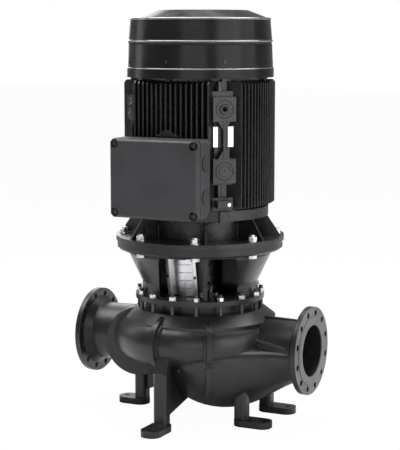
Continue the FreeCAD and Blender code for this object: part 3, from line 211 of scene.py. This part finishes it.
CLOUD_RANGE = (0.35, 0.65)            # noise between these turns the dark colour into the light one
SPOT_RANGE = (0.3, 0.7)


class Surface:
    """A Principled material with helpers for the procedural nodes in front of it."""

    def __init__(self, name):
        self.mat = bpy.data.materials.new(name)
        self.mat.use_nodes = True
        self.tree = self.mat.node_tree
        self.shader = self.tree.nodes["Principled BSDF"]
        self.coord = self.tree.nodes.new("ShaderNodeTexCoord").outputs["Object"]
        self.normal = None

    def new(self, kind, **values):
        node = self.tree.nodes.new(kind)
        for key, value in values.items():
            if key in node.inputs:
                node.inputs[key].default_value = value
            else:
                setattr(node, key, value)
        return node

    def link(self, a, b):
        self.tree.links.new(a, b)

    def noise(self, scale, detail=2.0, roughness=0.5, stretch=None):
        node = self.new("ShaderNodeTexNoise", Scale=scale, Detail=detail, Roughness=roughness)
        place = self.coord
        if stretch:
            mapping = self.new("ShaderNodeMapping", Scale=stretch)
            self.link(place, mapping.inputs["Vector"])
            place = mapping.outputs[0]
        self.link(place, node.inputs["Vector"])
        return node.outputs["Fac"]

    def ramp(self, value, low, high, to_low=0.0, to_high=1.0):
        node = self.new("ShaderNodeMapRange")
        for key, v in zip(("From Min", "From Max", "To Min", "To Max"), (low, high, to_low, to_high)):
            node.inputs[key].default_value = v
        node.clamp = True
        self.link(value, node.inputs["Value"])
        return node.outputs[0]

    def mix(self, value, a, b):
        """Colour between a and b; each is a colour or a socket."""
        node = self.new("ShaderNodeMix", data_type="RGBA")
        self.link(value, node.inputs[0])
        for socket, colour in ((node.inputs[6], a), (node.inputs[7], b)):
            if isinstance(colour, tuple):
                socket.default_value = (*colour, 1.0)
            else:
                self.link(colour, socket)
        return node.outputs[2]

    def mix_value(self, value, a, b):
        """Number between a and b; each is a number or a socket."""
        node = self.new("ShaderNodeMix", data_type="FLOAT")
        self.link(value, node.inputs[0])
        for socket, number in ((node.inputs[2], a), (node.inputs[3], b)):
            if isinstance(number, float):
                socket.default_value = number
            else:
                self.link(number, socket)
        return node.outputs[0]

    def along(self, axis):
        node = self.new("ShaderNodeSeparateXYZ")
        self.link(self.coord, node.inputs[0])
        return node.outputs[axis]

    def absolute(self, value):
        node = self.new("ShaderNodeMath", operation="ABSOLUTE")
        self.link(value, node.inputs[0])
        return node.outputs[0]

    def round_edges(self, radius, samples=4):
        node = self.new("ShaderNodeBevel", samples=samples)
        node.inputs["Radius"].default_value = radius
        if self.normal:
            self.link(self.normal, node.inputs["Normal"])
        self.normal = node.outputs[0]

    def bump(self, height, strength, distance):
        node = self.new("ShaderNodeBump", Strength=strength, Distance=distance)
        self.link(height, node.inputs["Height"])
        if self.normal:
            self.link(self.normal, node.inputs["Normal"])
        self.normal = node.outputs[0]

    def finish(self, colour, roughness, metallic=0.0, specular=0.5):
        for socket, value in (("Base Color", colour), ("Roughness", roughness), ("Metallic", metallic)):
            if isinstance(value, tuple):
                self.shader.inputs[socket].default_value = (*value, 1.0)
            elif isinstance(value, float):
                self.shader.inputs[socket].default_value = value
            else:
                self.link(value, self.shader.inputs[socket])
        self.shader.inputs["Specular IOR Level"].default_value = specular
        if self.normal:
            self.link(self.normal, self.shader.inputs["Normal"])
        return self.mat


def paint_layers(name, dark, light, gloss, cloud, sheen, bumps, edge=None):
    """Surface with its bumps, and the sockets for colour and gloss.

    cloud and sheen are the noise (scale, detail, roughness) that colour and gloss follow, gloss is the range
    of the roughness, and a bump is (scale, detail, roughness, strength, depth).
    """
    s = Surface(name)
    if edge:
        s.round_edges(edge)
    for scale, detail, roughness, strength, depth in bumps:
        s.bump(s.noise(scale, detail, roughness), strength, depth)
    colour = s.mix(s.ramp(s.noise(*cloud), *CLOUD_RANGE), dark, light)
    return s, colour, s.ramp(s.noise(*sheen), *SPOT_RANGE, *gloss)


def paint(*layers, specular, **more):
    s, colour, gloss = paint_layers(*layers, **more)
    return s.finish(colour, gloss, 0.0, specular)


def casing_paint():
    """Smooth casting paint, with the pipe flange faces machined bare."""
    s, colour, gloss = paint_layers(
        "casing_paint", (0.009, 0.009, 0.010), (0.016, 0.016, 0.018), (0.29, 0.39),
        cloud=(6.0, 4.0, 0.6), sheen=(30.0, 3.0), edge=0.0035,
        bumps=((11.0, 2.0, 0.5, 0.3, 0.005), (300.0, 2.0, 0.6, 0.5, 0.0005)))
    face = s.ramp(s.absolute(s.along(0)), FACE_X - BARE_FROM, FACE_X - BARE_TO)
    steel = s.mix(s.ramp(s.noise(9.0, 3.0), *SPOT_RANGE), (0.078, 0.078, 0.082), (0.128, 0.128, 0.132))
    return s.finish(s.mix(face, colour, steel), s.mix_value(face, gloss, BARE_GLOSS), 0.0, 0.45)


def bead_paint():
    """Thick, glossy paint on the rolled edges of the sheets, coloured lighter than the sheets' own paint as
    a painted highlight along the edges.
    """
    s, colour, gloss = paint_layers(
        "bead_paint", (0.03, 0.03, 0.032), (0.09, 0.09, 0.093), (0.18, 0.30),
        cloud=(9.0, 3.0), sheen=(20.0, 2.0), bumps=((30.0, 2.0, 0.5, 0.2, 0.002),))
    s.shader.inputs["Coat Weight"].default_value = 1.0
    s.shader.inputs["Coat Roughness"].default_value = 0.16
    s.shader.inputs["Coat IOR"].default_value = 2.2
    return s.finish(colour, gloss, 0.0, 1.0)


def metal(name, dark, light, rough, scale=60.0, stretch=None, bump=0.1, edge=0.0012):
    s = Surface(name)
    s.round_edges(edge)
    s.bump(s.noise(scale * 8, 2.0, 0.5, stretch), bump, 0.0003)
    colour = s.mix(s.ramp(s.noise(scale, 3.0, 0.6, stretch), *SPOT_RANGE), dark, light)
    gloss = s.ramp(s.noise(scale * 2, 2.0, 0.5, stretch), *SPOT_RANGE, rough - 0.06, rough + 0.08)
    return s.finish(colour, gloss, 1.0)


def plain(name, dark, light, rough, scale=120.0, bump=0.2):
    s = Surface(name)
    s.bump(s.noise(scale * 4, 2.0), bump, 0.0004)
    colour = s.mix(s.ramp(s.noise(scale, 3.0), *SPOT_RANGE), dark, light)
    gloss = s.ramp(s.noise(scale * 2, 2.0), *SPOT_RANGE, rough - 0.05, rough + 0.08)
    return s.finish(colour, gloss)


def winding():
    s = Surface("winding")
    turns = s.new("ShaderNodeTexWave", wave_type="RINGS", rings_direction="Z", Scale=90.0, Distortion=3.0)
    s.link(s.coord, turns.inputs["Vector"])
    s.bump(turns.outputs["Fac"], 0.6, 0.0015)
    colour = s.mix(turns.outputs["Fac"], (0.14, 0.045, 0.012), (0.45, 0.19, 0.06))
    return s.finish(colour, 0.35)


MATERIALS = {
    "casing_paint": casing_paint(),
    # Paint over a sand casting, with coarse grain over slow lumps
    "motor_paint": paint("motor_paint", (0.007, 0.007, 0.008), (0.014, 0.014, 0.016), (0.24, 0.36),
                         cloud=(6.0, 4.0, 0.6), sheen=(30.0, 3.0), edge=0.0035, specular=0.5,
                         bumps=((14.0, 2.0, 0.5, 0.5, 0.006), (210.0, 3.0, 0.65, 0.6, 0.0011))),
    "box_paint": paint("box_paint", (0.030, 0.030, 0.033), (0.042, 0.042, 0.046), (0.50, 0.60),
                       cloud=(7.0, 4.0), sheen=(40.0, 3.0), edge=0.0025, specular=0.4,
                       bumps=((700.0, 2.0, 0.6, 0.4, 0.0005), (18.0, 2.0, 0.5, 0.25, 0.003))),
    "sheet_paint": paint("sheet_paint", (0.008, 0.008, 0.009), (0.014, 0.014, 0.016), (0.17, 0.28),
                         cloud=(5.0, 3.0), sheen=(22.0, 3.0), edge=0.0025, specular=0.19,
                         bumps=((260.0, 2.0, 0.5, 0.12, 0.0004), (9.0, 1.0, 0.5, 0.25, 0.003))),
    # Rolled edges of the sheets: their lighter colour is a painted highlight
    "bead_paint": bead_paint(),
    "machined_steel": metal("machined_steel", (0.40, 0.41, 0.42), (0.60, 0.61, 0.62), 0.28,
                            stretch=(1, 1, 12)),
    "dark_steel": metal("dark_steel", (0.05, 0.05, 0.052), (0.10, 0.10, 0.105), 0.42),
    "zinc_steel": metal("zinc_steel", (0.62, 0.63, 0.64), (0.82, 0.82, 0.83), 0.30),
    "stainless_sheet": metal("stainless_sheet", (0.60, 0.61, 0.63), (0.72, 0.73, 0.74), 0.38,
                             scale=25.0, stretch=(1, 1, 0.1), bump=0.03),
    "grey_sheet": plain("grey_sheet", (0.30, 0.30, 0.31), (0.38, 0.38, 0.39), 0.5),
    "bare_iron": plain("bare_iron", (0.09, 0.09, 0.095), (0.16, 0.16, 0.165), 0.55),
    "bronze": metal("bronze", (0.45, 0.28, 0.10), (0.65, 0.44, 0.20), 0.36),
    "rubber_seal": plain("rubber_seal", (0.012, 0.012, 0.012), (0.022, 0.022, 0.022), 0.65),
    "winding": winding(),
    "black_plastic": plain("black_plastic", (0.016, 0.016, 0.018), (0.026, 0.026, 0.028), 0.5),
    "bright_plate": metal("bright_plate", (0.60, 0.61, 0.63), (0.80, 0.81, 0.83), 0.34,
                          stretch=(1, 1, 10)),
}


def dress_nodes():
    for part in frame["record"]["subparts"]:
        node = NODES[part["node"]]
        node.data.materials.clear()
        node.data.materials.append(MATERIALS[part["material_slot"]])


# Pieces that finish the castings and sheets

def add_piece(name, bm, material, smooth=True):
    """Mesh object that rides on the casing, with a material."""
    bmesh.ops.recalc_face_normals(bm, faces=bm.faces)
    mesh = bpy.data.meshes.new(name)
    bm.to_mesh(mesh)
    bm.free()
    for face in mesh.polygons:
        face.use_smooth = smooth
    piece = bpy.data.objects.new(name, mesh)
    bpy.context.scene.collection.objects.link(piece)
    mesh.materials.append(MATERIALS[material])
    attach(piece, "casing")


def lathe(bm, profile, place, steps=RING_STEPS):
    """Turn a closed profile of (radius, height) points about the Z axis of place."""
    rings = []
    for k in range(steps):
        angle = 2 * math.pi * k / steps
        rings.append([bm.verts.new(place @ Vector((r * math.cos(angle), r * math.sin(angle), h)))
                      for r, h in profile])
    count = len(profile)
    for k in range(steps):
        a, b = rings[k], rings[(k + 1) % steps]
        for i in range(count):
            j = (i + 1) % count
            bm.faces.new((a[i], b[i], b[j], a[j]))


def facing_out(azimuth, radius, height):
    """Frame on the side of the motor: Z points outwards, Y up."""
    a = math.radians(azimuth)
    out = Vector((math.cos(a), math.sin(a), 0))
    side = Vector((-math.sin(a), math.cos(a), 0))
    m = Matrix.Identity(4)
    for row in range(3):
        m[row][0], m[row][1], m[row][2] = side[row], (0, 0, 1)[row], out[row]
        m[row][3] = (out * radius)[row] + (0, 0, height)[row]
    return m


def bead_profile(radius, size, rise, count=RING_SIDES):
    """Closed oval section of a ring: half width size, half height rise."""
    return [(radius + size * math.cos(2 * math.pi * k / count), rise * math.sin(2 * math.pi * k / count))
            for k in range(count)]


def boss_rings():
    """Turned seats on the square bosses: a ring and a hub above, two rings and a stud below."""
    frame_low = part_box("flange_end_shield")[1][2] - SHIELD_IN_FRAME
    for number, azimuth in enumerate(BOSS_AZIMUTHS):
        bm = bmesh.new()
        upper = facing_out(azimuth, BOSS_R, frame_low + BOSS_LEVELS[1])
        lathe(bm, bead_profile(*UPPER_RING), upper)
        lathe(bm, UPPER_HUB, upper)
        lower = facing_out(azimuth, BOSS_R, frame_low + BOSS_LEVELS[0])
        for ring in LOWER_RINGS:
            lathe(bm, bead_profile(*ring), lower)
        lathe(bm, LOWER_STUD, lower, STUD_STEPS)
        add_piece("boss_rings_%d" % number, bm, "motor_paint")


def edge_beads():
    """Rolled edges of the canopy and the fan cover, and the rubber strip under the canopy's edge."""
    bm = bmesh.new()
    for node, inside, rise, size in EDGE_BEADS:
        low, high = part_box(node)
        level = Matrix.Identity(4)
        level[2][3] = low[2] + rise
        lathe(bm, bead_profile(high[0] - inside, size, size, BEAD_SIDES), level, SHEET_STEPS)
    add_piece("sheet_edge_beads", bm, "bead_paint")
    bm = bmesh.new()
    foot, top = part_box("rain_canopy")
    inner, outer = (top[0] - inside for inside in STRIP_IN)
    low, high = (foot[2] + rise for rise in STRIP_LEVELS)
    lathe(bm, [(inner, low), (outer, low), (outer, high), (inner, high)], Matrix.Identity(4), SHEET_STEPS)
    add_piece("canopy_edge_strip", bm, "rubber_seal")


def arch_path(azimuths, low):
    """Points (arc length, height) of an arch on the barrel: up one side, across, and down the other."""
    high = low + ARCH_H
    a0, a1 = (math.radians(a) * SHIELD_R for a in azimuths)
    points = [(a0, low)]
    for start, middle in ((math.pi, a0 + ARCH_CORNER), (math.pi / 2, a1 - ARCH_CORNER)):
        for k in range(ARCH_CORNER_STEPS + 1):
            angle = start - math.pi / 2 * k / ARCH_CORNER_STEPS
            points.append((middle + ARCH_CORNER * math.cos(angle),
                           high - ARCH_CORNER + ARCH_CORNER * math.sin(angle)))
    points.append((a1, low))
    return points


def sweep_on_barrel(bm, points):
    """Ridge of trapezoid section along points (arc length, height) on the barrel."""
    half = ARCH_WIDTH / 2
    section = ((-half, SHIELD_R - ARCH_ROOT), (-half + ARCH_DRAFT, SHIELD_R + ARCH_RISE),
               (half - ARCH_DRAFT, SHIELD_R + ARCH_RISE), (half, SHIELD_R - ARCH_ROOT))
    rows = []
    for i, (s, z) in enumerate(points):
        before, after = points[max(i - 1, 0)], points[min(i + 1, len(points) - 1)]
        along = Vector((after[0] - before[0], after[1] - before[1])).normalized()
        across = Vector((-along.y, along.x))
        row = []
        for side, r in section:
            angle = (s + across.x * side) / SHIELD_R
            row.append(bm.verts.new((r * math.cos(angle), r * math.sin(angle), z + across.y * side)))
        rows.append(row)
    for a, b in zip(rows, rows[1:]):
        for i in range(4):
            j = (i + 1) % 4
            bm.faces.new((a[i], b[i], b[j], a[j]))
    bm.faces.new(rows[0])
    bm.faces.new(list(reversed(rows[-1])))


def shield_arches():
    """Arched ridges on the end shield's barrel between its gussets."""
    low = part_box("flange_end_shield")[0][2] + ARCH_FOOT
    for number, span in enumerate(ARCH_SPANS):
        bm = bmesh.new()
        sweep_on_barrel(bm, arch_path(span, low))
        add_piece("shield_arch_%d" % number, bm, "motor_paint", smooth=False)


make_camera()
make_world()
make_floor()
for lamp in LAMPS:
    make_lamp(*lamp)
dress_nodes()
boss_rings()
edge_beads()
shield_arches()
bpy.context.scene.view_settings.view_transform = "Standard"
